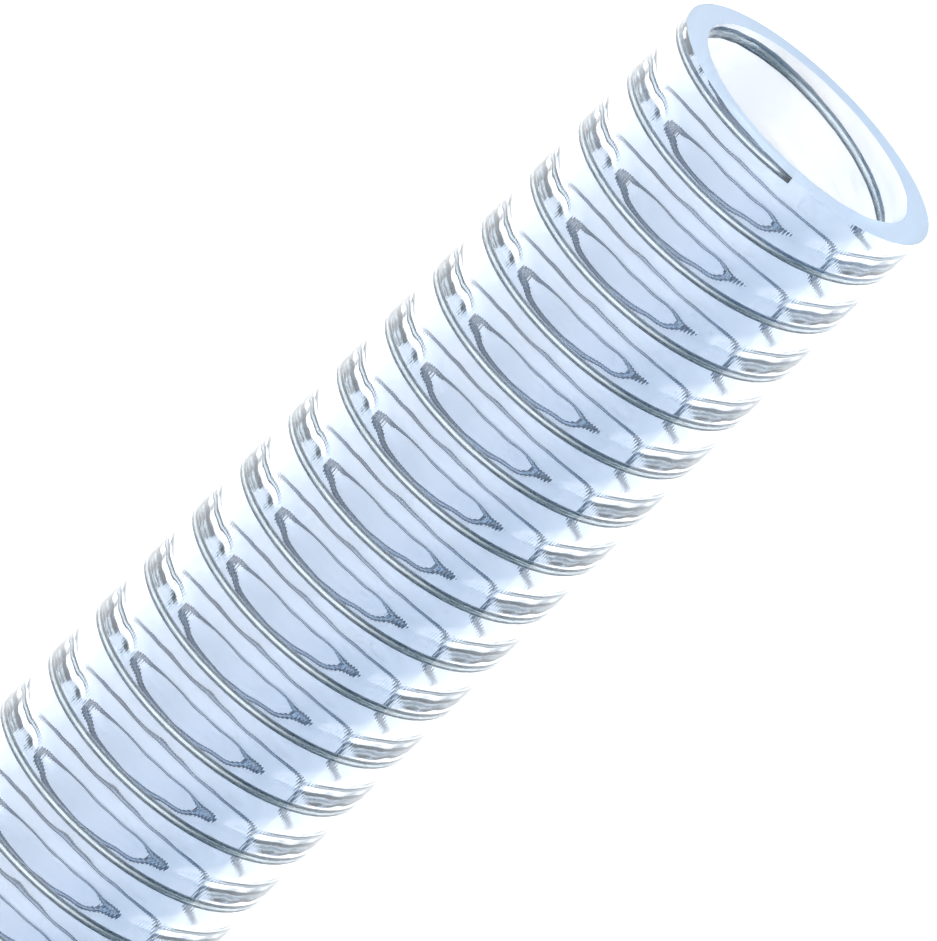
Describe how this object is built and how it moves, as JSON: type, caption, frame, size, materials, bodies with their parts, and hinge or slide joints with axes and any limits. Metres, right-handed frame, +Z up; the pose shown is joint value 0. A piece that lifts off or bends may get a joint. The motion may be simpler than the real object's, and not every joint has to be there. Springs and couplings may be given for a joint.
{
  "type": "suction hose",
  "caption": "Straight length of clear PVC suction hose with a steel wire coil inside its wall, cut off at both ends.",
  "frame": {"origin": "on the surface that the hose lies on, under the middle of its length", "axes": "+X along the hose's axis, +Y across it, +Z up"},
  "size_m": [0.5, 0.0598, 0.0599],
  "materials": {
    "clear_pvc": "glossy, clear with a faint blue tint",
    "spring_steel": "drawn wire, semi-gloss"
  },
  "bodies": {
    "root": {"pvc_wall": "clear_pvc", "wire_coil": "spring_steel"}
  },
  "joints": []
}
